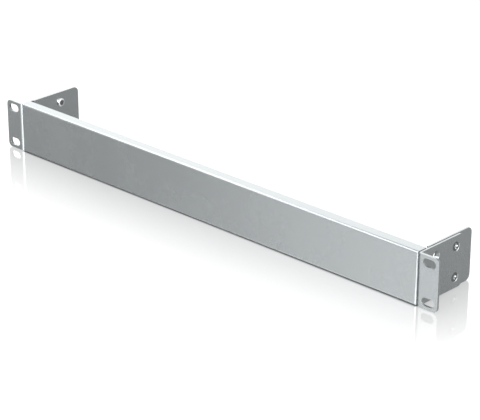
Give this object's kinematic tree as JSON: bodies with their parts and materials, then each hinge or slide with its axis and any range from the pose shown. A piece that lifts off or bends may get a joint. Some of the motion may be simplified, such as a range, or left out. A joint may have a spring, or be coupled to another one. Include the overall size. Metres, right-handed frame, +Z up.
{
  "type": "rack blanking panel",
  "caption": "Blank front panel for an equipment rack, folded from sheet, with deep side walls screwed to L-shaped slotted ear brackets.",
  "frame": {"origin": "centre of the four rack slots, on the rear faces of the two ears, which bear on the rack's posts", "axes": "+X along the panel's width, +Y to the back, away from the front face, +Z up"},
  "size_m": [0.4826, 0.0644, 0.0444],
  "materials": {
    "silver_sheet": "satin silver metallic coat with a fine grain",
    "bracket_sheet": "satin silver metallic coat with a fine grain",
    "plated_screw": "satin zinc plating, darker than the sheet",
    "plated_nut": "satin zinc plating"
  },
  "bodies": {
    "root": {"front_panel": "silver_sheet", "left_ear_bracket": "bracket_sheet", "right_ear_bracket": "bracket_sheet", "left_upper_screw": "plated_screw", "left_lower_screw": "plated_screw", "right_upper_screw": "plated_screw", "right_lower_screw": "plated_screw", "left_upper_clinch_nut": "plated_nut", "left_lower_clinch_nut": "plated_nut", "right_upper_clinch_nut": "plated_nut", "right_lower_clinch_nut": "plated_nut"}
  },
  "joints": []
}
